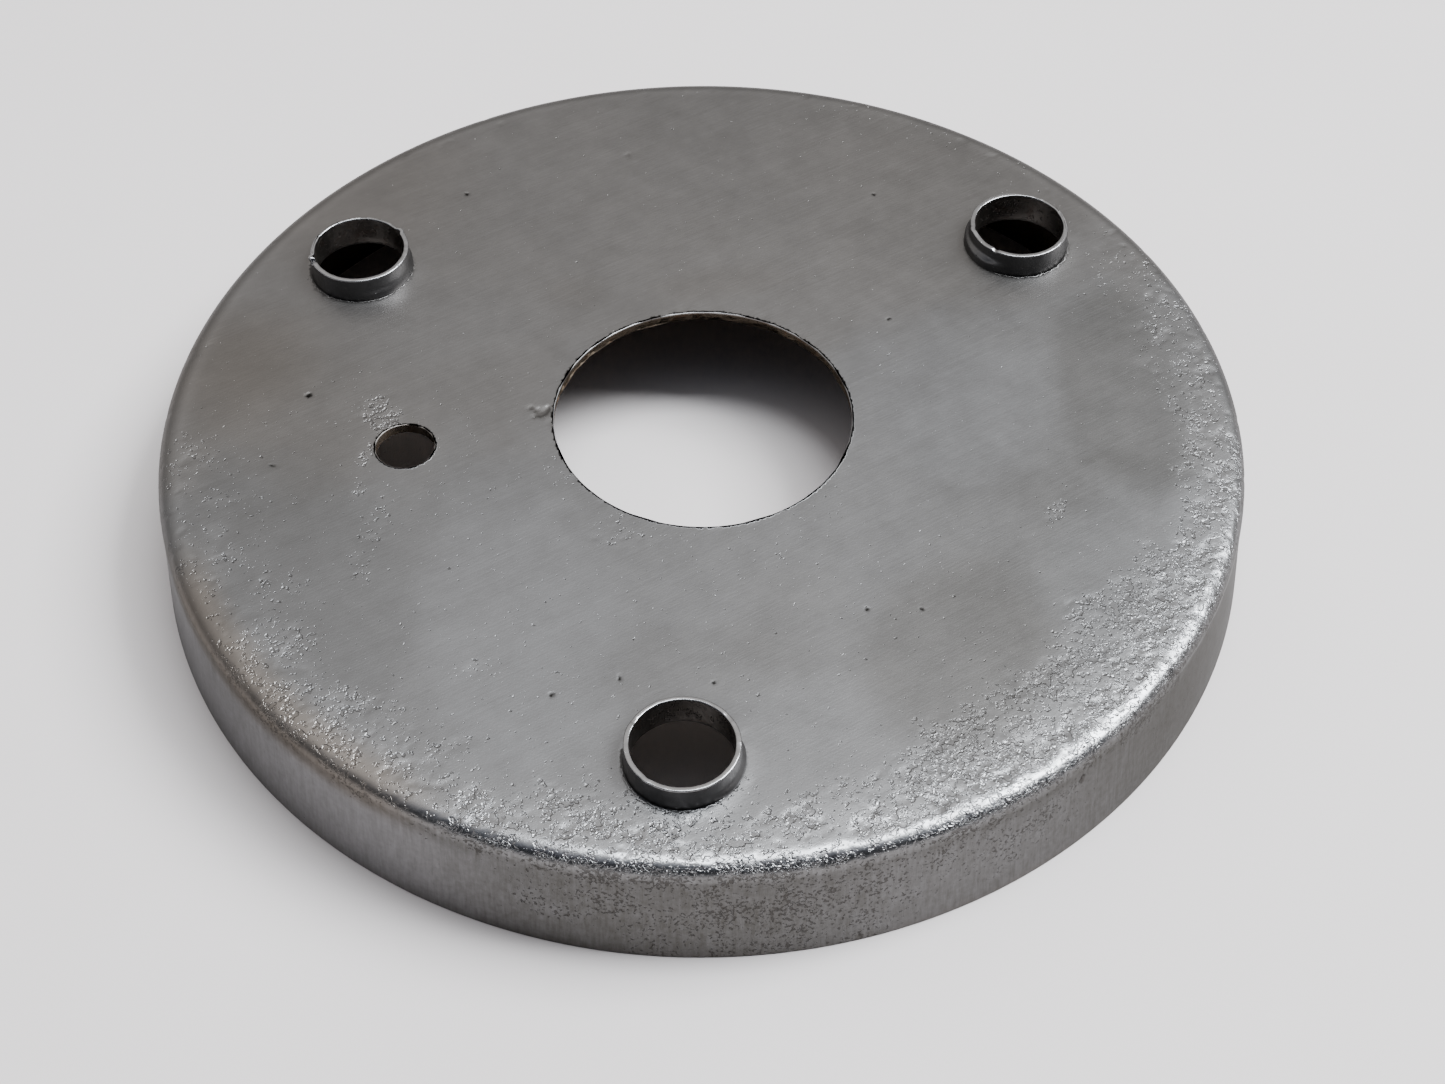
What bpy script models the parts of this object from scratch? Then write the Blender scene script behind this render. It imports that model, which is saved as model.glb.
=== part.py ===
"""A pressed steel floor drain cover, in metres, with +Z up and the origin at the centre of its foot.

The cover is one shallow round cap drawn from sheet: a flat disc, a rounded corner and a short
skirt that flares a little down to its cut foot. The disc has a centre hole, one small hole and
three seats. A thin-walled collar stands in each seat, swaged wide at its foot.
"""

import math

import bmesh
import bpy

# The cap.
SHEET = 0.0015
FOOT_RADIUS = 0.0762
DISC_RADIUS = 0.0751
HEIGHT = 0.0172
CORNER_RADIUS = 0.0022
CAP_SEGMENTS = 96
CORNER_STEPS = 5

# The plain holes in the disc.
CENTRE_HOLE_RADIUS = 0.0207
CENTRE_HOLE_SEGMENTS = 64
SMALL_HOLE_RADIUS = 0.00405
SMALL_HOLE_PITCH_RADIUS = 0.0413
SMALL_HOLE_ANGLE = math.radians(188.6)
SMALL_HOLE_SEGMENTS = 32

# The collars. Their spacing round the disc isn't equal: it was set out by hand.
COLLAR_PITCH_RADIUS = 0.0588
COLLAR_ANGLES = {
    "front_collar": math.radians(-91.9),
    "right_rear_collar": math.radians(37.7),
    "left_rear_collar": math.radians(149.3),
}
COLLAR_STAND = 0.0038
COLLAR_BORE_RADIUS = 0.0065
COLLAR_RIM_RADIUS = 0.0072
COLLAR_FOOT_RADIUS = 0.0075
COLLAR_MOUTH_RADIUS = 0.0072
COLLAR_MOUTH_HEIGHT = 0.0019
COLLAR_RIM_EDGE = 0.00012
COLLAR_SEGMENTS = 48
MOUTH_STEPS = 4

# The gap between a collar's foot and its seat.
SEAT_GAP = 0.0003
# How far a cutter runs past the sheet on each side.
CUTTER_MARGIN = 0.002


def clear_scene():
    for obj in list(bpy.data.objects):
        bpy.data.objects.remove(obj, do_unlink=True)


def metal(name, colour, roughness):
    material = bpy.data.materials.new(name)
    material.use_nodes = True
    shader = material.node_tree.nodes["Principled BSDF"]
    shader.inputs["Base Color"].default_value = (*colour, 1.0)
    shader.inputs["Metallic"].default_value = 1.0
    shader.inputs["Roughness"].default_value = roughness
    return material


def arc(centre, radii, start, end, steps):
    """Points in the (radius, height) plane along a quarter of an ellipse, both ends included."""
    points = []
    for step in range(steps + 1):
        angle = math.radians(start + (end - start) * step / steps)
        across = centre[0] + radii[0] * math.cos(angle)
        up = centre[1] + radii[1] * math.sin(angle)
        points.append((across, up))
    return points


def place(name, mesh, material=None):
    obj = bpy.data.objects.new(name, mesh)
    bpy.context.collection.objects.link(obj)
    if material:
        mesh.materials.append(material)
    return obj


def turned(name, profile, segments, material=None):
    """A solid turned round Z from a closed profile of (radius, height) points."""
    shape = bmesh.new()
    ring = [shape.verts.new((radius, 0.0, height)) for radius, height in profile]
    edges = [shape.edges.new((a, b)) for a, b in zip(ring, ring[1:] + ring[:1])]
    bmesh.ops.spin(
        shape,
        geom=ring + edges,
        cent=(0.0, 0.0, 0.0),
        axis=(0.0, 0.0, 1.0),
        angle=2 * math.pi,
        steps=segments,
        use_merge=True,
    )
    bmesh.ops.recalc_face_normals(shape, faces=shape.faces)
    mesh = bpy.data.meshes.new(name)
    shape.to_mesh(mesh)
    shape.free()
    mesh.shade_smooth()
    mesh.set_sharp_from_angle(angle=math.radians(35))
    return place(name, mesh, material)


def drill(obj, name, radius, segments, centre):
    """Cuts a round hole straight through the disc of obj."""
    shape = bmesh.new()
    bmesh.ops.create_cone(
        shape,
        cap_ends=True,
        segments=segments,
        radius1=radius,
        radius2=radius,
        depth=SHEET + 2 * CUTTER_MARGIN,
    )
    mesh = bpy.data.meshes.new(name)
    shape.to_mesh(mesh)
    shape.free()
    cutter = place(name, mesh)
    cutter.location = (centre[0], centre[1], HEIGHT - SHEET / 2)
    cutter.hide_render = True
    cutter.display_type = "WIRE"
    hole = obj.modifiers.new(name, "BOOLEAN")
    hole.operation = "DIFFERENCE"
    hole.solver = "EXACT"
    hole.object = cutter


def polar(radius, angle):
    return radius * math.cos(angle), radius * math.sin(angle)


def cap_profile():
    """Once round the section of the sheet, from the foot up the outside and back down the inside."""
    corner = (DISC_RADIUS - CORNER_RADIUS, HEIGHT - CORNER_RADIUS)
    inner = CORNER_RADIUS - SHEET
    outside = arc(corner, (CORNER_RADIUS, CORNER_RADIUS), 0, 90, CORNER_STEPS)
    inside = arc(corner, (inner, inner), 90, 0, CORNER_STEPS)
    hole = [(CENTRE_HOLE_RADIUS, HEIGHT), (CENTRE_HOLE_RADIUS, HEIGHT - SHEET)]
    return [(FOOT_RADIUS, 0.0)] + outside + hole + inside + [(FOOT_RADIUS - SHEET, 0.0)]


def make_cover():
    steel = metal("cover_steel", (0.36, 0.36, 0.37), 0.36)
    cover = turned("cover", cap_profile(), CAP_SEGMENTS, steel)
    centre = polar(SMALL_HOLE_PITCH_RADIUS, SMALL_HOLE_ANGLE)
    drill(cover, "small_hole_cutter", SMALL_HOLE_RADIUS, SMALL_HOLE_SEGMENTS, centre)
    for name, angle in COLLAR_ANGLES.items():
        centre = polar(COLLAR_PITCH_RADIUS, angle)
        seat_radius = COLLAR_FOOT_RADIUS + SEAT_GAP
        drill(cover, name + "_seat_cutter", seat_radius, COLLAR_SEGMENTS, centre)


def collar_profile():
    """Once round a collar's wall, with height 0 at the disc's top face."""
    edge = COLLAR_RIM_EDGE
    flare = COLLAR_MOUTH_RADIUS - COLLAR_BORE_RADIUS
    mouth_top = COLLAR_MOUTH_HEIGHT - SHEET
    mouth = arc(
        (COLLAR_MOUTH_RADIUS, mouth_top), (flare, COLLAR_MOUTH_HEIGHT), 180, 270, MOUTH_STEPS
    )
    return [
        (COLLAR_FOOT_RADIUS, -SHEET),
        (COLLAR_FOOT_RADIUS, 0.0),
        (COLLAR_RIM_RADIUS, COLLAR_STAND - edge),
        (COLLAR_RIM_RADIUS - edge, COLLAR_STAND),
        (COLLAR_BORE_RADIUS + edge, COLLAR_STAND),
        (COLLAR_BORE_RADIUS, COLLAR_STAND - edge),
    ] + mouth


def make_collars():
    bright = metal("collar_steel", (0.42, 0.42, 0.43), 0.3)
    for name, angle in COLLAR_ANGLES.items():
        collar = turned(name, collar_profile(), COLLAR_SEGMENTS, bright)
        collar.location = (*polar(COLLAR_PITCH_RADIUS, angle), HEIGHT)


clear_scene()
make_cover()
make_collars()
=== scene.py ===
"""The looks of a pressed steel floor drain cover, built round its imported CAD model.

All shapes are worked out in millimetres and stored in metres. The cover is made as the press made
it: a flat round blank is meshed with its holes, pitted with rust, and then folded into the cap.
"""

import math

import bpy
import numpy as np
from mathutils import Matrix, Vector
from mathutils.geometry import delaunay_2d_cdt


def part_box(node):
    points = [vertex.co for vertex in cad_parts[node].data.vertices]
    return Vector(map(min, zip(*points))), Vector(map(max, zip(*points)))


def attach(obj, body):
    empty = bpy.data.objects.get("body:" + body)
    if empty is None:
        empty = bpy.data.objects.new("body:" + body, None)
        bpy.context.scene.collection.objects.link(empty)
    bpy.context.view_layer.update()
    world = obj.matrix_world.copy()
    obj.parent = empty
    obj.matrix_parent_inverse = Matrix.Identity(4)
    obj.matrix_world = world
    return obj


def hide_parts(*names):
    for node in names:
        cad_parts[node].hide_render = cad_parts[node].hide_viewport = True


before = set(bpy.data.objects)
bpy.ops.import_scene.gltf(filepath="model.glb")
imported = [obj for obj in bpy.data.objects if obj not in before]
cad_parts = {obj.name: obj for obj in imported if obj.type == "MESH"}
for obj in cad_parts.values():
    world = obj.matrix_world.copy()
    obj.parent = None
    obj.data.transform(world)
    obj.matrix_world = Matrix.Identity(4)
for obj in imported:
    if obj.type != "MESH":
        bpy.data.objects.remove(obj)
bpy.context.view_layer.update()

MM = 0.001
SEED = 11


def box_mm(node):
    """The lowest and highest corner of a node's CAD box, in millimetres."""
    low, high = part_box(node)
    return np.array(low) / MM, np.array(high) / MM


# The cap, as in the CAD model.
_, cover_high = box_mm("cover")
HEIGHT = cover_high[2]
FOOT_RADIUS = cover_high[0]
# How much the skirt's radius grows from the corner to the foot.
FLARE = 1.1
SHEET = 1.5
CORNER_RADIUS = 2.2
CENTRE_HOLE_RADIUS = 20.7
SMALL_HOLE_RADIUS = 4.05
SMALL_HOLE_AT = (-40.8, -6.2)

# The broken edges of the holes and the foot: how far back, and how far down. The collars' seats are
# broken less.
EDGE_BREAK = 0.14
EDGE_DROP = 0.06
SEAT_BREAK = 0.07
# The direction of the sanding lines on the disc, in degrees from +X.
SANDED_ALONG = 32.0
# How the corner's tilt grows along it: 1 is a plain arc, and more turns slowly first and then faster.
CORNER_SHARPENS = 1.5
CORNER_STEPS = 400
SKIRT_STEPS = 40


def cap_section():
    """The outer skin from the axis to the foot, by its length along the skin: radius, height, tilt.

    The corner turns slowly at first, where it has been sanded, and then faster.
    """
    along = np.linspace(0.0, 1.0, CORNER_STEPS)
    tilt = math.pi / 2 * along**CORNER_SHARPENS
    step = CORNER_RADIUS / np.sin(tilt).mean()
    length = step * along
    across = np.cumsum(np.cos(tilt)) * length[1]
    down = np.cumsum(np.sin(tilt)) * length[1]
    start = FOOT_RADIUS - FLARE - across[-1]
    skirt = np.linspace(0.0, 1.0, SKIRT_STEPS)[1:]
    skirt_height = HEIGHT - down[-1]
    skirt_length = math.hypot(FLARE, skirt_height)
    runs = [[0.0], start + length, start + step + skirt_length * skirt]
    radii = [[0.0], start + across, FOOT_RADIUS - FLARE + FLARE * skirt**1.2]
    heights = [[HEIGHT], HEIGHT - down, skirt_height * (1.0 - skirt)]
    tilts = [[0.0], tilt, np.full(len(skirt), math.pi / 2)]
    return [np.concatenate(parts) for parts in (runs, radii, heights, tilts)]


RUNS, RADII, HEIGHTS, TILTS = cap_section()
# Distances along the outer skin from the axis: where the corner starts, where it ends, and the foot.
CORNER_START = RUNS[1]
CORNER_END = RUNS[CORNER_STEPS]
FOOT_RUN = RUNS[-1]

# The collars' radii, and how far above the disc's top the bell mouth under each one starts. Where they
# stand and how tall they are comes from their CAD boxes.
COLLARS = ("front_collar", "right_rear_collar", "left_rear_collar")
COLLAR_BORE = 6.5
COLLAR_RIM = 7.2
COLLAR_FOOT = 7.36
COLLAR_MOUTH = 7.1
COLLAR_MOUTH_TOP = 0.4
# The seat in the disc is this much narrower than the collar's foot, so that no gap shows.
SEAT_OVERLAP = 0.05

# The camera: place in millimetres, how far it looks down, its roll, and its lens.
CAMERA_AT = (2.8, -222.9, 245.9)
CAMERA_DOWN = math.radians(48.905)
CAMERA_ROLL = math.radians(0.246)
CAMERA_LENS = 57.18

# The lamps: place and size in metres, watts and colour. One is nearly over the object, and the other
# is further to the right and behind it.
LAMPS = {
    "ceiling_lamp": ((0.28, 0.14, 1.35), (0.9, 0.36), 16.5, (0.90, 0.955, 1.0)),
    "side_lamp": ((1.00, 0.30, 1.35), (0.8, 0.8), 48.0, (0.92, 0.965, 1.0)),
}
# The room's brightness by height, by depth, and in a band round the horizon. Each line gives two
# values of the direction's upward or rearward part, and the brightness at each.
ROOM_UP = (0.25, 1.0, 0.43, 1.18)
ROOM_BEHIND = (-0.65, 0.25, 0.09, 1.0)
ROOM_HORIZON = (0.28, 0.06, 0.0, 0.8)
ROOM_COLOUR = (1.0, 0.978, 0.95)
ROOM_FRONT_COLOUR = (0.78, 0.87, 1.08)


# ---------------------------------------------------------------- small helpers


def smooth(low, high, value):
    """0 below low, 1 above high, and an S-shaped ramp between them."""
    part = np.clip((value - low) / (high - low), 0.0, 1.0)
    return part * part * (3.0 - 2.0 * part)


def noise(flat, size, seed):
    """Smooth random values from -1 to 1 over the plane, which change over about size millimetres."""
    table = np.random.default_rng(seed).uniform(-1.0, 1.0, (256, 256))
    spot = flat / size
    cell = np.floor(spot).astype(int)
    part = spot - cell
    part = part * part * (3.0 - 2.0 * part)
    x0, y0 = cell[:, 0] % 256, cell[:, 1] % 256
    x1, y1 = (x0 + 1) % 256, (y0 + 1) % 256
    low = table[x0, y0] * (1 - part[:, 0]) + table[x1, y0] * part[:, 0]
    high = table[x0, y1] * (1 - part[:, 0]) + table[x1, y1] * part[:, 0]
    return low * (1 - part[:, 1]) + high * part[:, 1]


def turned(flat, degrees):
    """The same points, measured along axes turned that far from +X and +Y."""
    turn = math.radians(degrees)
    along = flat[:, 0] * math.cos(turn) + flat[:, 1] * math.sin(turn)
    across = flat[:, 1] * math.cos(turn) - flat[:, 0] * math.sin(turn)
    return np.stack([along, across], 1)


def layered(flat, size, seed, layers=3):
    """Several layers of noise, each turned, and half the size and 0.6 of the strength of the last."""
    total = np.zeros(len(flat))
    for layer in range(layers):
        total += noise(turned(flat, 37 * layer + 11), size / 2**layer, seed + layer) * 0.6**layer
    return total


def angle_gap(angle, other):
    """The signed difference of two angles in degrees, from -180 to 180."""
    return (angle - other + 180.0) % 360.0 - 180.0


def facing(degrees, middle, outer, inner):
    """1 within inner degrees of a direction, 0 beyond outer degrees, and a ramp between them."""
    return smooth(outer, inner, np.abs(angle_gap(degrees, middle)))


def polar(flat):
    """Distance from the axis in millimetres, and direction in degrees from +X."""
    return np.hypot(flat[:, 0], flat[:, 1]), np.degrees(np.arctan2(flat[:, 1], flat[:, 0]))


def distance(flat, spot):
    """How far each point lies from one spot."""
    return np.hypot(flat[:, 0] - spot[0], flat[:, 1] - spot[1])


def circle(centre, radius, count):
    """Evenly spaced points round a circle."""
    turn = np.arange(count) * 2 * math.pi / count
    return np.stack([centre[0] + radius * np.cos(turn), centre[1] + radius * np.sin(turn)], 1)


def make_piece(name, points, faces, marks, material, replaced):
    """A mesh object from points in millimetres, with a named value at each point for the material."""
    mesh = bpy.data.meshes.new(name)
    mesh.from_pydata((points * MM).tolist(), [], faces)
    for mark, values in marks.items():
        layer = mesh.attributes.new(mark, "FLOAT", "POINT")
        layer.data.foreach_set("value", np.asarray(values, np.float32))
    mesh.validate()
    mesh.shade_smooth()
    mesh.set_sharp_from_angle(angle=math.radians(50))
    piece = bpy.data.objects.new(name, mesh)
    bpy.context.scene.collection.objects.link(piece)
    mesh.materials.append(material)
    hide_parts(replaced)
    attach(piece, "root")
    return piece


# ---------------------------------------------------------------- where the sheet is worn

# Rust bands round the edge of the disc and down the skirt: from and to in degrees, from and to
# along the skin in millimetres, and how thickly the pits lie.
PIT_BANDS = (
    (183, 215, 60, 75, 0.42),
    (212, 248, 63, 77, 0.62),
    (242, 303, 64, 78, 0.80),
    (292, 338, 60, 78, 1.00),
    (332, 362, 65, 77, 0.75),
    (-2, 30, 63, 75, 0.50),
    (28, 62, 67, 75, 0.16),
    (60, 78, 68, 75, 0.20),
    (252, 312, 76, 87, 0.70),
    (262, 290, 82, 94, 0.62),
    (300, 332, 78, 91, 0.26),
    (228, 258, 84, 92, 0.20),
    (70, 128, 76, 90, 0.30),
    (150, 182, 78, 92, 0.14),
)

# Rust patches on the disc: centre, half-length, half-width, direction in degrees, how thickly.
PIT_PATCHES = (
    (-44.5, -0.5, 5.0, 2.6, 110, 0.75),
    (-46.0, -8.0, 3.0, 1.8, 80, 0.80),
    (-43.5, -22.0, 13.0, 2.4, 84, 0.45),
    (-46.0, -14.5, 2.4, 1.6, 60, 0.80),
    (-33.5, -17.0, 4.5, 2.0, 40, 0.34),
    (-29.5, -45.5, 5.0, 3.0, 15, 0.50),
    (-37.5, -48.5, 1.6, 0.8, 0, 0.70),
    (-12.0, -20.5, 9.0, 5.0, -25, 0.34),
    (-19.5, -11.0, 5.0, 1.8, -60, 0.45),
    (7.5, -27.5, 5.0, 3.0, 30, 0.30),
    (47.5, -17.5, 3.6, 1.6, 75, 0.60),
    (26.5, 10.5, 4.6, 1.4, 100, 0.40),
    (48.5, -39.0, 2.2, 1.6, 60, 0.50),
    (38.0, -40.5, 2.0, 1.0, 0, 0.35),
    (13.0, -66.0, 8.0, 3.4, 25, 0.42),
    (-14.0, 26.5, 10.0, 3.0, 20, 0.08),
)

# Single deep marks: centre on the blank, radius, depth. Those smaller than the limit are full of dirt.
DIRTY_GOUGE = 0.6
GOUGES = (
    (-22.6, 0.3, 1.5, 0.16),
    (-21.7, 1.0, 0.8, 0.16),
    (-23.9, 1.2, 0.7, 0.08),
    (-36.3, 46.6, 0.42, 0.12),
    (-55.2, 3.5, 0.55, 0.16),
    (-10.0, -46.2, 0.36, 0.12),
    (-18.5, -48.8, 0.42, 0.14),
    (1.8, -46.8, 0.34, 0.10),
    (21.5, -34.8, 0.34, 0.10),
    (28.5, -34.8, 0.34, 0.10),
    (26.7, 19.5, 0.38, 0.12),
    (-58.5, -10.0, 0.36, 0.10),
    (25.6, 47.0, 0.36, 0.10),
    (-12.0, 56.0, 0.9, 0.05),
    (49.9, -61.0, 1.0, 0.28),
)

# Stains: centre, half-length, half-width, direction, softness of the outline, lightness, warmth.
STAINS = (
    (62.0, 6.0, 13.0, 19.0, 8, 0.16, -0.62, 0.10),
    (50.0, -4.0, 22.0, 36.0, 0, 0.34, -0.28, 0.00),
    (30.0, 52.0, 40.0, 24.0, -20, 0.60, -0.12, 0.00),
    (53.0, -12.5, 12.0, 5.0, 10, 0.30, -0.26, 0.05),
    (38.0, 6.0, 11.0, 17.0, -18, 0.35, 0.18, -0.25),
    (54.0, 29.0, 6.0, 12.0, -30, 0.60, 0.24, -0.15),
    (58.0, -27.0, 10.0, 17.0, -20, 0.34, 0.16, -0.20),
    (33.0, -41.0, 12.0, 15.0, -10, 0.30, -0.56, 0.20),
    (50.0, -40.0, 24.0, 30.0, 40, 0.50, -0.34, 0.00),
    (44.0, 46.0, 30.0, 20.0, -40, 0.60, -0.24, 0.05),
    (-60.0, -4.0, 14.0, 22.0, 0, 0.50, -0.20, 0.10),
    (-3.0, -44.0, 15.0, 6.5, 4, 0.34, -0.26, 0.10),
    (12.0, -36.0, 8.0, 9.0, 0, 0.40, -0.16, 0.10),
    (-55.0, -32.0, 18.0, 25.0, 12, 0.14, -0.32, -0.05),
    (-23.0, -38.0, 13.0, 23.0, 8, 0.28, 0.38, -0.20),
    (-66.0, 9.0, 9.0, 10.0, 0, 0.70, -0.26, 0.38),
    (-52.0, 46.0, 14.0, 16.0, 0, 0.60, 0.02, 0.25),
    (2.0, 27.0, 9.0, 3.0, 10, 0.60, -0.20, 0.10),
    (-19.0, 25.0, 4.0, 3.0, 0, 0.60, -0.16, 0.10),
    (20.0, 56.0, 22.0, 9.0, -12, 0.60, 0.10, 0.05),
    (-36.0, 18.0, 12.0, 8.0, 10, 0.60, 0.10, -0.10),
)


def spot_reach(flat, x, y, length, width, degrees):
    """0 at the middle of an ellipse and 1 on its outline."""
    turn = math.radians(degrees)
    across, up = flat[:, 0] - x, flat[:, 1] - y
    along = across * math.cos(turn) + up * math.sin(turn)
    aside = -across * math.sin(turn) + up * math.cos(turn)
    return np.hypot(along / length, aside / width)


def rust_density(flat):
    """How thickly rust pits lie at each point of the blank, from 0 to 1."""
    run, degrees = polar(flat)
    wander = layered(flat, 7.0, SEED + 20)
    # A few pits lie all over the worn front of the disc.
    worn = smooth(14.0, -20.0, flat[:, 1] + 0.25 * flat[:, 0] + 6.0 * wander)
    density = 0.01 + 0.15 * worn
    for start, end, near, far, strength in PIT_BANDS:
        middle, half = (start + end) / 2, (end - start) / 2
        round_way = facing(degrees, middle, half + 5, half - 5)
        inwards = smooth(near - 3.0, near + 4.0, run + 2.5 * wander)
        outwards = smooth(far + 1.5, far - 1.5, run + 1.5 * wander)
        density = np.maximum(density, strength * round_way * inwards * outwards)
    for x, y, length, width, degrees_on, strength in PIT_PATCHES:
        reach = spot_reach(flat, x, y, length, width, degrees_on)
        density = np.maximum(density, strength * smooth(1.25, 0.35, reach + 0.3 * wander))
    clumps = smooth(-0.9, 0.9, layered(flat, 3.4, SEED + 30, 3))
    return np.clip(density * (0.62 + 0.55 * clumps), 0.0, 1.0)


def stains_and_painted_shade(flat):
    """Lightness and warmth of the metal at each point of the blank, each about -1 to 1: stains, and
    painted shade on the rear.
    """
    wander = layered(flat, 16.0, SEED + 40)
    # The rear of the disc is painted darker and browner: painted shade and a painted warm reflection,
    # where the rear reflects the dimmer, warmer part of the room.
    rear = smooth(-8.0, 8.0, flat[:, 1] - 0.28 * flat[:, 0] - 6.0 + 7.0 * wander)
    light = 0.10 - 0.22 * rear
    warm = -0.20 + 0.42 * rear
    for x, y, length, width, degrees, softness, lightness, warmth in STAINS:
        reach = spot_reach(flat, x, y, length, width, degrees) + 0.10 * wander
        cover = smooth(1.0 + softness, 1.0 - softness, reach)
        light = light + lightness * cover
        warm = warm + warmth * cover
    return light, warm


# ---------------------------------------------------------------- the cover


def fold(flat, depth):
    """Takes points of the blank, at a depth below its outer skin, to their places on the cap."""
    run = np.hypot(flat[:, 0], flat[:, 1])
    tilt = np.interp(run, RUNS, TILTS)
    radius = np.interp(run, RUNS, RADII) - depth * np.sin(tilt)
    height = np.interp(run, RUNS, HEIGHTS) - depth * np.cos(tilt)
    return np.stack([flat[:, 0] / run * radius, flat[:, 1] / run * radius, height], 1)


def hole_list():
    """Each edge of the blank: centre, radius, number of points, and +1 for a hole or -1 for the foot."""
    edges = [
        ((0.0, 0.0), CENTRE_HOLE_RADIUS, 420, 1),
        (SMALL_HOLE_AT, SMALL_HOLE_RADIUS, 96, 1),
    ]
    for name in COLLARS:
        low, high = box_mm(name)
        centre = (low + high)[:2] / 2
        edges.append((tuple(centre), COLLAR_FOOT - SEAT_OVERLAP, 160, 1))
    edges.append(((0.0, 0.0), FOOT_RUN, 900, -1))
    return edges


HOLES = hole_list()
SEATS = HOLES[2:5]


# The spacing of the loose points where the mesh is coarse. It is halved once where the fineness is
# over 0, and again where it is over 1.
OUTER_SPACING = 1.22
INNER_SPACING = 2.4
HALVINGS = 2
# Round a hole the mesh is fine for this far.
HOLE_MARGIN = 1.2


def scattered(fineness, size, seed):
    """Loose points over the blank, closer together where fineness(points) is high."""
    rng = np.random.default_rng(seed)
    steps = np.arange(-FOOT_RUN, FOOT_RUN, size)
    across, up = np.meshgrid(steps, steps)
    cells = np.stack([across.ravel(), up.ravel()], 1)
    quarters = np.array([(-1, -1), (-1, 1), (1, -1), (1, 1)]) / 4
    kept = []
    for level in range(HALVINGS):
        split = fineness(cells) > level
        kept.append(cells[~split] + rng.uniform(-0.3, 0.3, (np.count_nonzero(~split), 2)) * size)
        cells = (cells[split][:, None, :] + quarters * size).reshape(-1, 2)
        size /= 2
    kept.append(cells + rng.uniform(-0.3, 0.3, cells.shape) * size)
    return np.concatenate(kept)


def clear_of_edges(flat, margin):
    """True for points inside the blank's outline and outside its holes, by margin."""
    inside = np.ones(len(flat), bool)
    for centre, radius, _, side in HOLES:
        inside &= side * (distance(flat, centre) - radius) > margin
    return inside


def mesh_blank(loose):
    """The points of the blank and triangles over them, through its edge loops and the loose points."""
    breaks = [SEAT_BREAK if hole in SEATS else EDGE_BREAK for hole in HOLES]
    loops = [circle(at, r + side * gap, n) for (at, r, n, side), gap in zip(HOLES, breaks)]
    flat = np.concatenate(loops + [loose])
    edges, start = [], 0
    for loop in loops:
        n = len(loop)
        edges += [(start + i, start + (i + 1) % n) for i in range(n)]
        start += n
    found = delaunay_2d_cdt([Vector(p) for p in flat], edges, [], 0, 1e-7)
    placed = np.array([tuple(p) for p in found[0]])
    faces = np.array(found[2])
    if len(placed) != len(flat):
        raise ValueError("two points of the blank fell together")
    faces = faces[clear_of_edges(placed[faces].mean(axis=1), 0.0)]
    return placed, faces


def outer_fineness(flat):
    """Fine where the rust is thick, at the corner, round the holes and at the gouges."""
    run, degrees = polar(flat)
    fine = 2.3 * smooth(0.24, 0.55, rust_density(flat)) * (run < CORNER_END + 1.0)
    near_corner = (run > CORNER_START - 1.0) & (run < CORNER_END + 0.6)
    front = np.abs(angle_gap(degrees, 275)) < 95
    fine = np.where(near_corner, np.maximum(fine, np.where(front, 1.5, 1.1)), fine)
    for centre, radius, _, _ in HOLES[:5]:
        gap = distance(flat, centre) - radius
        fine = np.where(gap < HOLE_MARGIN, np.maximum(fine, 1.5), fine)
    for x, y, radius, _ in GOUGES:
        fine = np.where(distance(flat, (x, y)) < radius + 0.9, HALVINGS, fine)
    return fine


def inner_fineness(flat):
    """Fine at the corner and round the holes."""
    run, _ = polar(flat)
    near_corner = (run > CORNER_START - 1.0) & (run < CORNER_END + 0.8)
    fine = np.where(near_corner, 1.5, 0.5)
    for centre, radius, _, _ in HOLES[:5]:
        gap = distance(flat, centre) - radius
        fine = np.where(gap < HOLE_MARGIN, 1.5, fine)
    return fine


def pit_depths(flat):
    """Depth of the rust pits at each point: shallow, ragged and drawn out along the sanding lines."""
    grain = turned(flat, SANDED_ALONG) * (0.75, 1.0)
    density = rust_density(flat)
    large = layered(grain, 2.0, SEED + 2, 2)
    small = noise(turned(grain, 23), 0.95, SEED + 12)
    start = 0.75 - 0.95 * density
    depth = 0.030 * smooth(start, start + 0.8, large) + 0.026 * smooth(start, start + 0.8, small)
    # They are deepest at the corner, and shallow on the skirt.
    run, _ = polar(flat)
    at_corner = smooth(CORNER_START - 7.0, CORNER_START - 1.0, run)
    on_skirt = smooth(CORNER_END - 0.5, CORNER_END + 1.5, run)
    return depth * (1.0 + at_corner) * (1.0 - 0.79 * on_skirt)


def gouge_depths(flat):
    """Depth of the single marks, with ragged outlines."""
    depth = np.zeros(len(flat))
    for x, y, radius, deep in GOUGES:
        reach = distance(flat, (x, y)) / radius + 0.35 * noise(flat, 0.5, SEED + 50)
        depth = np.maximum(depth, deep * smooth(1.0, 0.2, reach))
    return depth


def speck_shapes(flat):
    """1 in the small gouges, which are full of dirt, and 0 elsewhere."""
    shape = np.zeros(len(flat))
    for x, y, radius, _ in GOUGES:
        if radius < DIRTY_GOUGE:
            reach = distance(flat, (x, y)) / radius
            shape = np.maximum(shape, smooth(0.95, 0.60, reach))
    return shape


def seat_relief(flat):
    """Depth of the disc round a collar's foot: a fine groove, then metal pulled up a little."""
    depth = np.zeros(len(flat))
    for centre, radius, _, _ in SEATS:
        gap = distance(flat, centre) - radius
        groove = 0.10 * smooth(0.40, 0.05, gap)
        raised = 0.16 * np.exp(-np.square(np.maximum(gap, 0.0) / 1.5))
        depth += np.where(gap < 8.0, groove - raised, 0.0)
    return depth


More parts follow.
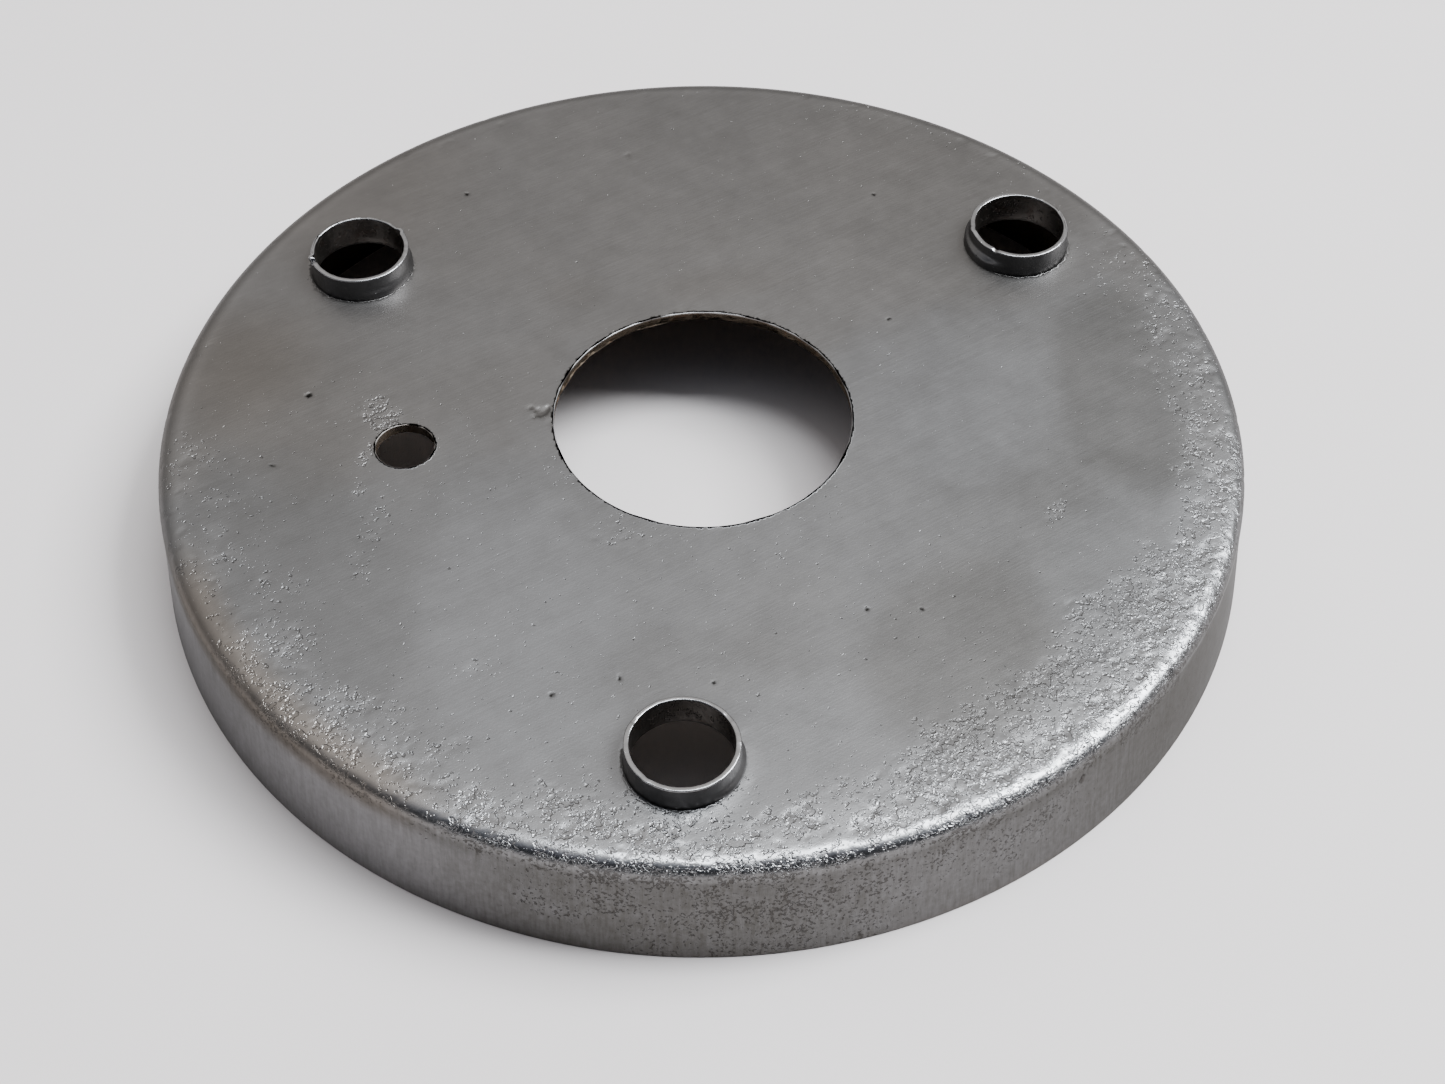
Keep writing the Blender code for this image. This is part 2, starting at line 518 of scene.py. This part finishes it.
def waviness(flat):
    """The disc isn't quite flat: it waves a little, and its edge dips, most at the front."""
    run, degrees = polar(flat)
    wave = 0.022 * noise(flat, 30.0, SEED + 60) + 0.010 * noise(flat, 11.0, SEED + 61)
    front = facing(degrees, 288, 105, 60)
    edge_dip = (0.07 + 0.20 * front) * np.square(np.clip((run - CORNER_START + 8.0) / 9.0, 0.0, 1.0))
    return (wave + edge_dip) * smooth(FOOT_RUN, CORNER_END, run)


def skirt_share(flat):
    """0 on the disc, 1 on the skirt, and a ramp between them round the corner."""
    run, _ = polar(flat)
    return smooth(CORNER_START + 1.6, CORNER_END, run)


def outer_skin():
    """The cap's outside: its points in space, its faces, and the marks for the material."""
    loose = scattered(outer_fineness, OUTER_SPACING, SEED + 1)
    loose = loose[clear_of_edges(loose, EDGE_BREAK + 0.14)]
    flat, faces = mesh_blank(loose)
    pits = pit_depths(flat)
    gouges = gouge_depths(flat)
    points = fold(flat, pits + gouges + seat_relief(flat) + waviness(flat))
    light, warm = stains_and_painted_shade(flat)
    marks = {
        # The skirt's sides get painted light.
        "light": light + skirt_painted_light(flat),
        "warm": warm + rust_tint(flat),
        "pitted": rust_density(flat),
        "pit": np.clip(pits / 0.20 + gouges / 0.08, 0.0, 1.0),
        "skirt": skirt_share(flat),
        "hidden": np.zeros(len(flat)),
        "speck": speck_shapes(flat),
        # Painted highlight on the corner and painted glints in the pits, with their polish.
        "polish_and_glint": np.maximum(corner_polish_and_highlight(flat), pit_polish_and_glints(flat)),
    }
    return points, faces, marks


def corner_polish_and_highlight(flat):
    """The rounded corner is painted brighter, most at the front: partly polish from sanding and
    handling, and partly a painted highlight where the lamps' highlight falls.
    """
    run, degrees = polar(flat)
    start = smooth(CORNER_START - 1.5, CORNER_START + 0.5, run)
    end = smooth(CORNER_END + 1.0, CORNER_END, run)
    front = facing(degrees, 296, 72, 38)
    return start * end * (0.25 + 0.75 * front)


def pit_polish_and_glints(flat):
    """The pitted metal is painted brighter too, more towards the corner: partly polish, and partly
    painted glints in the pits.
    """
    run, _ = polar(flat)
    start = smooth(CORNER_START - 9.0, CORNER_START - 1.0, run)
    end = smooth(CORNER_END, CORNER_START, run)
    return (0.25 + 0.62 * start * end) * smooth(0.2, 0.8, rust_density(flat))


def skirt_painted_light(flat):
    """The skirt is painted lighter at the left and at the right than at the front: painted light,
    standing in for the light it reflects there.
    """
    run, degrees = polar(flat)
    left = facing(degrees, 218, 42, 18)
    right = facing(degrees, 302, 26, 8)
    return (1.1 * left + 0.40 * right) * smooth(CORNER_END, CORNER_END + 3.0, run)


def rust_tint(flat):
    """Brown staining: down the left of the corner, and along the foot."""
    run, degrees = polar(flat)
    left = facing(degrees, 222, 26, 14) * smooth(68, 73, run) * smooth(80, 76, run)
    foot = smooth(FOOT_RUN - 1.6, FOOT_RUN - 0.2, run + 0.6 * noise(flat, 3.0, SEED + 70))
    return 1.3 * left + 0.35 * foot


def inner_skin():
    """The cap's inside, in the same form."""
    loose = scattered(inner_fineness, INNER_SPACING, SEED + 4)
    loose = loose[clear_of_edges(loose, EDGE_BREAK + 0.2)]
    flat, faces = mesh_blank(loose)
    rough = 0.03 * noise(flat, 2.2, SEED + 5) + 0.02 * noise(flat, 26.0, SEED + 6)
    run, _ = polar(flat)
    points = fold(flat, SHEET + rough * smooth(FOOT_RUN, FOOT_RUN - 2.0, run))
    light, warm = stains_and_painted_shade(-flat)
    marks = {
        "light": light,
        "warm": warm,
        "pitted": 0.25 + 0.3 * noise(flat, 14.0, SEED + 7),
        "pit": np.zeros(len(flat)),
        "skirt": skirt_share(flat),
        "hidden": np.ones(len(flat)),
        "speck": np.zeros(len(flat)),
        "polish_and_glint": np.zeros(len(flat)),
    }
    return points, faces, marks


# Through the sheet at a hole: depth, how far the metal stands back, and how dark and torn it is.
# The plain walls are painted darker deeper into the sheet: painted shade inside the hole.
PLAIN_WALL = (
    (EDGE_DROP, 0.0, 0.5),
    (0.3, 0.0, 0.8),
    (SHEET - EDGE_DROP, 0.0, 1.0),
)
# The centre hole was punched: a thin sheared band, then a torn one that stands back.
PUNCHED_WALL = (
    (EDGE_DROP, 0.0, 0.0),
    (0.22, 0.0, 0.5),
    (0.40, 0.02, 1.0),
    (0.56, 0.12, 1.0),
    (0.76, 0.20, 1.0),
    (0.96, 0.22, 1.0),
    (1.16, 0.26, 1.0),
    (SHEET - 0.10, 0.24, 1.0),
)
# The values of the material's marks on a hole's bright edge and on its dark, torn wall. The edge is
# painted lighter, partly bright sheared metal and partly a painted highlight; the wall is painted dark,
# partly rust and partly painted shade inside the hole.
WALL_MARKS = {
    "light": (0.5, -0.3),
    "warm": (0.0, 0.8),
    "pitted": (0.0, 0.6),
    "pit": (0.0, 0.5),
    "skirt": (0.0, 0.0),
    "hidden": (0.0, 1.0),
    "speck": (0.0, 0.0),
    "polish_and_glint": (0.2, 0.0),
}


def wall_rings(edge, profile, torn):
    """Rings of points through the sheet at one edge of the blank."""
    centre, radius, count, side = edge
    rings = []
    for depth, back, _ in profile:
        ring = circle(centre, radius, count)
        round_way = np.stack([ring[:, 0], ring[:, 1] + 40.0 * depth], 1)
        tear = torn * smooth(0.35, 0.9, depth)
        shift = side * back + tear * 0.16 * layered(round_way, 1.8, SEED + 8)
        outward = (ring - np.array(centre)) / radius
        ring = ring + outward * shift[:, None]
        slip = tear * 0.14 * noise(ring, 1.3, SEED + 9)
        rings.append(fold(ring, np.full(count, depth) + slip))
    return rings


def make_cover(material):
    """The cap as one closed mesh: outside, inside, and the walls of the holes and the foot."""
    points, faces, marks = outer_skin()
    inner_points, inner_faces, inner_marks = inner_skin()
    outer_count = len(points)
    all_points = [points, inner_points]
    all_faces = faces.tolist() + (inner_faces[:, ::-1] + outer_count).tolist()
    all_marks = {mark: [marks[mark], inner_marks[mark]] for mark in marks}
    total = outer_count + len(inner_points)
    start = 0
    for number, edge in enumerate(HOLES):
        _, _, count, side = edge
        profile, torn = (PUNCHED_WALL, 1.0) if number == 0 else (PLAIN_WALL, 0.0)
        rings = wall_rings(edge, profile, torn)
        levels = [start] + [total + i * count for i in range(len(rings))] + [outer_count + start]
        for upper, lower in zip(levels, levels[1:]):
            for i in range(count):
                j = (i + 1) % count
                quad = (upper + i, lower + i, lower + j, upper + j)
                all_faces.append(quad if side > 0 else quad[::-1])
        wall = np.concatenate(rings)
        all_points.append(wall)
        total += len(wall)
        dark = np.repeat([shade for _, _, shade in profile], count)
        for mark, (bright_value, dark_value) in WALL_MARKS.items():
            all_marks[mark].append(bright_value + (dark_value - bright_value) * dark)
        start += count
    joined = {mark: np.concatenate(values) for mark, values in all_marks.items()}
    return make_piece(
        "cover_metal", np.concatenate(all_points), all_faces, joined, material, "cover"
    )


# ---------------------------------------------------------------- the collars

# For each collar: marks on its rim (angle, half-width in degrees, how far it drops, how far it is
# pushed out), the arc where the rim is ground thin (middle, half-width, amount), the side where the
# foot bulges (middle, half-width, amount, height), and how much lower the rim sits.
RIM_MARKS = {
    "front_collar": {
        "marks": (
            (232, 4, -0.06, 0.10),
            (150, 5, 0.08, 0.0),
            (35, 6, 0.06, 0.0),
            (300, 8, 0.05, 0.0),
        ),
        "thin": (90, 60, 0.10),
        "step": (-12, 40, 0.46, 1.1),
        "lower": 0.18,
    },
    "right_rear_collar": {
        "marks": (
            (189, 4, -0.10, 0.12),
            (235, 3, 0.22, -0.05),
            (212, 14, 0.12, -0.06),
            (30, 5, -0.05, 0.06),
        ),
        "thin": (40, 50, 0.30),
        "step": (190, 52, 0.56, 1.8),
        "lower": 0.0,
    },
    "left_rear_collar": {
        "marks": (
            (203, 3.2, 0.85, 0.0),
            (195, 3.4, -0.16, 0.36),
            (36, 4, -0.14, 0.30),
            (158, 3, -0.10, 0.05),
        ),
        "thin": (115, 78, 0.36),
        "step": (340, 60, 0.24, 1.4),
        "lower": 0.0,
    },
}
# Points round a collar, and the longest side of a face up its wall.
COLLAR_TURNS = 224
COLLAR_STEP = 0.2
# Noise on a collar runs on millimetres: this many go to one degree round the wall.
MM_PER_DEGREE = 0.125


def collar_section(top, bottom):
    """Once round a collar's wall as (radius, height) points, with the height from the disc's top."""
    flare = COLLAR_MOUTH - COLLAR_BORE
    deep = COLLAR_MOUTH_TOP - bottom
    corners = [(COLLAR_FOOT, bottom), (COLLAR_FOOT, 0.0)]
    corners += [(COLLAR_RIM, top - 0.10), (COLLAR_RIM - 0.07, top - 0.02)]
    corners += [(COLLAR_RIM - 0.16, top), (COLLAR_BORE + 0.14, top), (COLLAR_BORE + 0.04, top - 0.04)]
    corners += [(COLLAR_BORE, top - 0.15), (COLLAR_BORE, COLLAR_MOUTH_TOP)]
    for step in range(1, 7):
        turn = math.radians(180 + 15 * step)
        across = COLLAR_MOUTH + flare * math.cos(turn)
        corners.append((across, COLLAR_MOUTH_TOP + deep * math.sin(turn)))
    section = []
    for (r0, z0), (r1, z1) in zip(corners, corners[1:] + corners[:1]):
        steps = max(1, round(math.hypot(r1 - r0, z1 - z0) / COLLAR_STEP))
        section += [(r0 + (r1 - r0) * i / steps, z0 + (z1 - z0) * i / steps) for i in range(steps)]
    return np.array(section)


def rim_wear(worn, degrees, round_way, seed):
    """How far the rim drops, as values below 0, and how far it is pushed out.

    It is ground unevenly, and then nicked and burred.
    """
    lift = 0.03 * noise(round_way, 3.0, seed) - 0.05 * (1 + noise(round_way, 0.9, seed + 1)) * 0.5
    push = 0.02 * noise(round_way, 1.5, seed + 2)
    for angle, half, drop, out in worn["marks"]:
        shape = np.exp(-np.power(angle_gap(degrees, angle) / half, 4))
        lift = lift - drop * shape
        push = push + out * shape
    return np.minimum(lift, 0.0), push


def collar_marks(round_way, bore, rim_face, seed):
    """What the material needs to know: the bore is dull, pitted and painted darker, which is painted
    shade inside it, and the rim's face is bright.
    """
    plain = np.zeros(len(rim_face))
    return {
        # Painted shade: the bore's colour is darker than the outside.
        "light": np.where(bore, -0.5, -0.25) + 0.2 * noise(round_way, 2.0, seed + 4) + 1.3 * rim_face,
        "warm": np.where(bore, 0.3, 0.05) - 0.2 * rim_face,
        "pitted": np.where(bore, 0.55, 0.10),
        "pit": np.where(bore, 0.35, 0.0) * (1 + noise(round_way, 0.7, seed + 5)),
        "skirt": plain,
        "hidden": np.where(bore, 0.40, 0.0),
        "rim": rim_face,
        "polish_and_glint": plain,
    }


def make_collar(name, material):
    """A collar turned from its section, with a worn and marked rim and a bulge at its foot."""
    low, high = box_mm(name)
    centre = (low + high)[:2] / 2
    worn = RIM_MARKS[name]
    top = high[2] - HEIGHT - worn["lower"]
    section = collar_section(top, -SHEET + 0.04)
    rings = len(section)
    degrees = np.repeat(np.arange(COLLAR_TURNS) * 360.0 / COLLAR_TURNS, rings)
    radius = np.tile(section[:, 0], COLLAR_TURNS)
    height = np.tile(section[:, 1], COLLAR_TURNS)
    outside = radius > COLLAR_BORE + (COLLAR_RIM - COLLAR_BORE) * 0.5
    near_rim = smooth(top - 1.1, top - 0.05, height)
    at_rim = smooth(top - 0.45, top - 0.02, height)
    round_way = np.stack([degrees * MM_PER_DEGREE, height], 1)
    seed = SEED + 80 + 10 * COLLARS.index(name)
    drop, push = rim_wear(worn, degrees, round_way, seed)
    middle, half, amount = worn["thin"]
    ground = amount * facing(degrees, middle, half + 12, half - 12)
    middle, half, amount, step_top = worn["step"]
    step = amount * facing(degrees, middle, half + 14, half - 20)
    low_down = smooth(step_top + 0.6, step_top - 0.6, height) * smooth(-0.3, 0.0, height)
    radius = radius + push * near_rim - np.where(outside, ground * at_rim, 0.0)
    radius = radius + np.where(outside, step * low_down, 0.0)
    radius = radius + 0.012 * noise(round_way, 0.8, seed + 3) * smooth(-1.0, 0.3, height)
    height = height + drop * near_rim
    turn = np.radians(degrees)
    x, y = centre[0] + radius * np.cos(turn), centre[1] + radius * np.sin(turn)
    points = np.stack([x, y, HEIGHT + height], 1)
    faces = []
    for i in range(COLLAR_TURNS):
        j = (i + 1) % COLLAR_TURNS
        for k in range(rings):
            m = (k + 1) % rings
            faces.append((i * rings + k, j * rings + k, j * rings + m, i * rings + m))
    bore = ~outside & (height < top - 0.2)
    rim_face = smooth(top - 0.14, top - 0.06, height - drop * near_rim)
    marks = collar_marks(round_way, bore, rim_face, seed)
    return make_piece(name + "_metal", points, faces, marks, material, name)


# ---------------------------------------------------------------- materials


class Shader:
    """A material's node tree, with short calls to add a node and wire it up."""

    def __init__(self, name):
        self.material = bpy.data.materials.new(name)
        self.material.use_nodes = True
        self.tree = self.material.node_tree
        self.surface = self.tree.nodes["Principled BSDF"]

    def add(self, kind, inputs=(), out=0, **settings):
        """Adds a node with its settings and inputs, and gives back one of its outputs."""
        node = self.tree.nodes.new(kind)
        for key, value in settings.items():
            setattr(node, key, value)
        for key, value in dict(inputs).items():
            self.feed(node.inputs[key], value)
        return node.outputs[out]

    def feed(self, socket, value):
        """Wires a socket into another one, or sets its value."""
        if isinstance(value, bpy.types.NodeSocket):
            self.tree.links.new(value, socket)
        else:
            socket.default_value = value

    def mark(self, name):
        """A named value at the mesh's points, which reads as 0 where the mesh has none."""
        return self.add("ShaderNodeAttribute", out="Fac", attribute_name=name)

    def sums(self, operation, a, b, clamp=False):
        return self.add("ShaderNodeMath", {0: a, 1: b}, operation=operation, use_clamp=clamp)

    def blend(self, share, a, b):
        """A colour mix."""
        mix = self.tree.nodes.new("ShaderNodeMix")
        mix.data_type = "RGBA"
        colours = [s for s in mix.inputs if s.type == "RGBA"]
        self.feed(mix.inputs[0], share)
        self.feed(colours[0], a)
        self.feed(colours[1], b)
        return [s for s in mix.outputs if s.type == "RGBA"][0]

    def ramp(self, value, low, high):
        """0 at low, 1 at high, clamped."""
        inputs = {0: value, 1: low, 2: high, 3: 0.0, 4: 1.0}
        return self.add("ShaderNodeMapRange", inputs, interpolation_type="SMOOTHSTEP")

    def noise(self, where, millimetres, detail=3.0, roughness=0.55):
        inputs = {"Vector": where, "Scale": 1 / (millimetres * MM), "Detail": detail}
        inputs["Roughness"] = roughness
        return self.add("ShaderNodeTexNoise", inputs, out="Fac")

    def stretched(self, where, degrees, scale):
        """Coordinates drawn out by scale along the axes of a frame turned that far from +X."""
        inputs = {"Vector": where, "Rotation": (0.0, 0.0, math.radians(degrees)), "Scale": scale}
        return self.add("ShaderNodeMapping", inputs, vector_type="TEXTURE")

    def pits(self, where, millimetres, share, depth):
        """Ragged pits of about that size, more of them for a larger share: 0 outside, depth inside."""
        field = self.noise(where, millimetres, 2.0, 0.6)
        start = self.sums("SUBTRACT", 0.74, self.sums("MULTIPLY", share, 0.27))
        bowl = self.ramp(self.sums("SUBTRACT", field, start), 0.0, 0.09)
        return self.sums("MULTIPLY", bowl, depth)

    def weighted(self, parts):
        """The sum of (value - 0.5) * weight over the parts."""
        total = None
        for value, weight in parts:
            part = self.sums("MULTIPLY", self.sums("SUBTRACT", value, 0.5), weight)
            total = part if total is None else self.sums("ADD", total, part)
        return total


# The steel's other colours.
# A pale steel for painted highlights and glints.
PAINTED_GLINT_STEEL = (0.40, 0.405, 0.42, 1.0)
SKIRT_STEEL = (0.062, 0.058, 0.050, 1.0)
HIDDEN_STEEL = (0.082, 0.062, 0.042, 1.0)
BROWN_TINT = (1.0, 0.90, 0.80, 1.0)
RUST = (0.090, 0.048, 0.026, 1.0)
PIT_BOTTOM = (0.045, 0.040, 0.036, 1.0)
DIRT = (0.012, 0.011, 0.010, 1.0)


def steel(name, dark, pale, roughness):
    """Bare sanded steel with stains, brush lines, rust pits and a duller, rustier hidden side."""
    s = Shader(name)
    where = s.add("ShaderNodeTexCoord", out="Object")
    light, warm, pitted, pit = s.mark("light"), s.mark("warm"), s.mark("pitted"), s.mark("pit")
    skirt, hidden, rim = s.mark("skirt"), s.mark("hidden"), s.mark("rim")
    polish_and_glint = s.mark("polish_and_glint")

    cloud = s.noise(where, 24.0, 4.0)
    mottle = s.noise(where, 5.0, 5.0, 0.62)
    speckle = s.noise(where, 0.9, 3.0, 0.6)
    disc_lines = s.noise(s.stretched(where, SANDED_ALONG, (40.0, 1.0, 1.0)), 0.24, 2.0, 0.6)
    skirt_lines = s.noise(s.stretched(where, 0, (1.0, 1.0, 40.0)), 0.45, 3.0, 0.65)
    lines = s.add("ShaderNodeMix", {0: skirt, 2: disc_lines, 3: skirt_lines}, data_type="FLOAT")

    tone = s.weighted(((cloud, 0.12), (mottle, 0.14), (lines, 0.09), (speckle, 0.12)))
    tone = s.sums("ADD", tone, s.sums("MULTIPLY", light, 0.5))
    share = s.sums("ADD", tone, 0.5, clamp=True)
    metal = s.blend(share, (*dark, 1.0), (*pale, 1.0))
    # Painted highlight: where the polish mark is high, the colour moves towards a pale steel, so the
    # corner band and the pits' glints shine brighter.
    metal = s.blend(s.sums("MULTIPLY", polish_and_glint, 0.55), metal, PAINTED_GLINT_STEEL)
    # The skirt is darker, unevenly and in upright streaks.
    dimmed = s.sums("SUBTRACT", 0.66, s.sums("MULTIPLY", light, 0.40))
    dimmed = s.sums("SUBTRACT", dimmed, s.weighted(((skirt_lines, 0.70), (mottle, 0.3), (speckle, 0.5))))
    dimmed = s.sums("MULTIPLY", skirt, dimmed, clamp=True)
    metal = s.blend(dimmed, metal, SKIRT_STEEL)

    warmth = s.weighted(((cloud, 0.3), (mottle, 0.25)))
    warmth = s.ramp(s.sums("ADD", warmth, warm), -0.5, 1.4)
    factors = {"Factor": 1.0, 6: metal, 7: BROWN_TINT}
    browner = s.add("ShaderNodeMix", factors, 2, data_type="RGBA", blend_type="MULTIPLY")
    tinted = s.blend(warmth, metal, browner)

    rust_spots = s.ramp(s.noise(where, 1.6, 4.0, 0.7), 0.50, 0.68)
    rust = s.sums("MULTIPLY", rust_spots, s.sums("MULTIPLY", hidden, 0.7))
    dulled = s.blend(s.sums("MULTIPLY", hidden, 0.9), tinted, HIDDEN_STEEL)
    rusty = s.blend(rust, dulled, RUST)

    # Rust pits finer than the mesh, in two sizes on the disc and one on the skirt, and more of them
    # where the metal rusted.
    disc_pits = s.sums("MAXIMUM", s.pits(where, 1.15, pitted, 1.0), s.pits(where, 0.60, pitted, 0.7))
    skirt_pits = s.pits(where, 0.46, s.sums("MULTIPLY", pitted, 1.05), 1.0)
    pits = s.add("ShaderNodeMix", {0: skirt, 2: disc_pits, 3: skirt_pits}, data_type="FLOAT")
    in_pits = s.sums("MULTIPLY", pits, s.sums("ADD", s.sums("MULTIPLY", skirt, 0.48), 0.20))
    in_pits = s.sums("MAXIMUM", in_pits, s.sums("MULTIPLY", s.ramp(pit, 0.3, 1.0), 0.5))
    colour = s.blend(in_pits, rusty, PIT_BOTTOM)
    colour = s.blend(s.mark("speck"), colour, DIRT)
    s.feed(s.surface.inputs["Base Color"], colour)
    s.surface.inputs["Metallic"].default_value = 1.0
    s.surface.inputs["Specular Tint"].default_value = (0.60, 0.60, 0.60, 1.0)

    rough = s.weighted(((mottle, 0.14), (lines, 0.08), (cloud, 0.06)))
    rough = s.sums("ADD", rough, roughness)
    rough = s.sums("ADD", rough, s.sums("MULTIPLY", hidden, 0.20))
    rough = s.sums("ADD", rough, s.sums("MULTIPLY", skirt, 0.08))
    rough = s.sums("SUBTRACT", rough, s.sums("MULTIPLY", polish_and_glint, 0.15))
    rough = s.sums("SUBTRACT", rough, s.sums("MULTIPLY", rim, 0.14), clamp=True)
    s.feed(s.surface.inputs["Roughness"], rough)

    # Relief finer than the mesh: brush lines, grain and the small pits.
    brushed = s.sums("MULTIPLY", lines, 0.10)
    grain = s.sums("MULTIPLY", s.noise(where, 0.28, 3.0), 0.20)
    relief = s.sums("SUBTRACT", s.sums("ADD", brushed, grain), s.sums("MULTIPLY", pits, 1.6))
    bump = s.add("ShaderNodeBump", {"Height": relief, "Strength": 0.9, "Distance": 0.06 * MM})
    s.feed(s.surface.inputs["Normal"], bump)
    return s.material


def table_top():
    """The white table: plain, with faint clouds."""
    s = Shader("table_top")
    where = s.add("ShaderNodeTexCoord", out="Object")
    cloud = s.noise(where, 90.0, 4.0)
    colour = s.blend(s.ramp(cloud, 0.3, 0.7), (0.780, 0.728, 0.717, 1.0), (0.800, 0.750, 0.740, 1.0))
    s.feed(s.surface.inputs["Base Color"], colour)
    s.surface.inputs["Roughness"].default_value = 0.48
    s.surface.inputs["Specular IOR Level"].default_value = 0.3
    return s.material


# ---------------------------------------------------------------- the stage


FLOOR_REACH = 6.0


def make_floor():
    size = FLOOR_REACH
    mesh = bpy.data.meshes.new("floor")
    corners = [(-size, -size, 0), (size, -size, 0), (size, size, 0), (-size, size, 0)]
    mesh.from_pydata(corners, [], [(0, 1, 2, 3)])
    mesh.materials.append(table_top())
    floor = bpy.data.objects.new("floor", mesh)
    bpy.context.scene.collection.objects.link(floor)


def soft_lamp(name, place, size, power, colour):
    """A rectangular lamp at that place in metres, turned to left or right to face the object."""
    lamp = bpy.data.lights.new(name, "AREA")
    lamp.shape = "RECTANGLE"
    lamp.size, lamp.size_y = size
    lamp.energy = power
    lamp.color = colour
    holder = bpy.data.objects.new(name, lamp)
    holder.location = place
    holder.rotation_euler = (0.0, math.atan2(place[0], place[2]), 0.0)
    bpy.context.scene.collection.objects.link(holder)


def make_world():
    """A room with a pale ceiling and a bright horizon, darker and bluer on the camera's side."""
    world = bpy.data.worlds.new("room")
    bpy.context.scene.world = world
    world.use_nodes = True
    tree = world.node_tree
    place = tree.nodes.new("ShaderNodeTexCoord")
    parts = tree.nodes.new("ShaderNodeSeparateXYZ")
    tree.links.new(place.outputs["Generated"], parts.inputs[0])

    def ramp(axis, low, high, start, end):
        node = tree.nodes.new("ShaderNodeMapRange")
        node.interpolation_type = "SMOOTHSTEP"
        values = {"From Min": low, "From Max": high, "To Min": start, "To Max": end}
        for name, value in values.items():
            node.inputs[name].default_value = value
        tree.links.new(parts.outputs[axis], node.inputs["Value"])
        return node.outputs[0]

    def join(operation, a, b):
        node = tree.nodes.new("ShaderNodeMath")
        node.operation = operation
        tree.links.new(a, node.inputs[0])
        tree.links.new(b, node.inputs[1])
        return node.outputs[0]

    ceiling = ramp("Z", *ROOM_UP)
    behind = ramp("Y", *ROOM_BEHIND)
    horizon = ramp("Z", *ROOM_HORIZON)
    light = join("MAXIMUM", join("MULTIPLY", ceiling, behind), horizon)
    background = tree.nodes["Background"]
    tree.links.new(light, background.inputs["Strength"])
    colour = tree.nodes.new("ShaderNodeMix")
    colour.data_type = "RGBA"
    sockets = [socket for socket in colour.inputs if socket.type == "RGBA"]
    sockets[0].default_value = (*ROOM_FRONT_COLOUR, 1.0)
    sockets[1].default_value = (*ROOM_COLOUR, 1.0)
    tree.links.new(join("MAXIMUM", behind, horizon), colour.inputs[0])
    result = [socket for socket in colour.outputs if socket.type == "RGBA"][0]
    tree.links.new(result, background.inputs["Color"])


def make_camera():
    """The scene's only camera, placed by the constants at the top."""
    data = bpy.data.cameras.new("camera")
    data.sensor_width = 36.0
    data.lens = CAMERA_LENS
    data.clip_start = 0.01
    camera = bpy.data.objects.new("camera", data)
    tilt = Matrix.Rotation(math.pi / 2 - CAMERA_DOWN, 4, "X")
    roll = Matrix.Rotation(CAMERA_ROLL, 4, "Z")
    camera.matrix_world = Matrix.Translation(Vector(CAMERA_AT) * MM) @ tilt @ roll
    bpy.context.scene.collection.objects.link(camera)
    bpy.context.scene.camera = camera


make_cover(steel("sanded_steel", (0.120, 0.118, 0.117), (0.226, 0.224, 0.229), 0.40))
for collar in COLLARS:
    make_collar(collar, steel(collar + "_steel", (0.10, 0.099, 0.098), (0.36, 0.36, 0.37), 0.34))
make_floor()
for lamp_name, lamp_settings in LAMPS.items():
    soft_lamp(lamp_name, *lamp_settings)
make_world()
make_camera()
